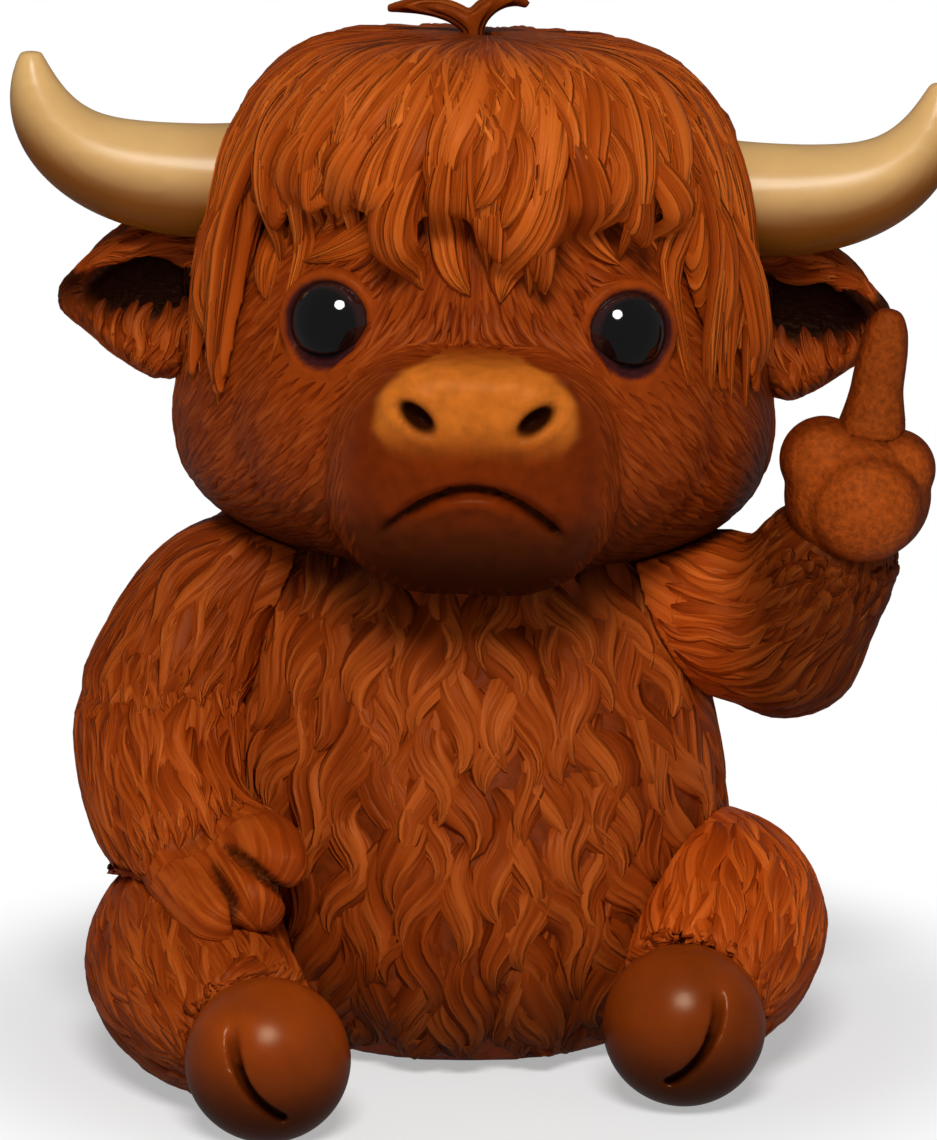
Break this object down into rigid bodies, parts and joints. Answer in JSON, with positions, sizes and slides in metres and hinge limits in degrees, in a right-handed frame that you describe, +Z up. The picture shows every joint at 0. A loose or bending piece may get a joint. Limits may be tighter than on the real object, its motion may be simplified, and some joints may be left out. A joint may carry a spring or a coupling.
{
  "type": "cow figurine",
  "caption": "Seated highland calf ornament in painted resin: shaggy sculpted fur, cream horns, cupped ears, black bead eyes, one arm at rest and one raised, on a felt-covered base.",
  "frame": {"origin": "centre of the felt disc under the body, on the surface that the ornament stands on", "axes": "+Z up, -Y the way the cow faces, +X to the viewer's right"},
  "size_m": [0.0928, 0.071, 0.1046],
  "materials": {
    "fur": "painted polyresin, dark wash in the fur and dry-brushed ridges, satin",
    "horn": "painted polyresin, cream with darker underside, semi-gloss",
    "hoof": "painted polyresin, brown, semi-gloss",
    "eye": "black, high gloss",
    "plug": "plain moulded stopper",
    "felt": "brown felt",
    "dowel": "plain birch dowel",
    "pin": "plain wire pin"
  },
  "bodies": {
    "root": {"torso": "fur", "head": "fur", "forelock": "fur", "crown_tuft": "fur", "left_ear": "fur", "right_ear": "fur", "resting_arm": "fur", "raised_arm": "fur", "raised_hand": "fur", "raised_finger": "fur", "left_leg": "fur", "right_leg": "fur", "tail": "fur", "left_horn": "horn", "right_horn": "horn", "left_hoof": "hoof", "right_hoof": "hoof", "left_eye": "eye", "right_eye": "eye", "base_plug": "plug", "base_felt": "felt", "neck_dowel": "dowel", "horn_pins": "pin", "arm_dowels": "dowel", "leg_dowels": "dowel", "hoof_pins": "pin", "hand_pin": "pin", "finger_pin": "pin"}
  },
  "joints": []
}
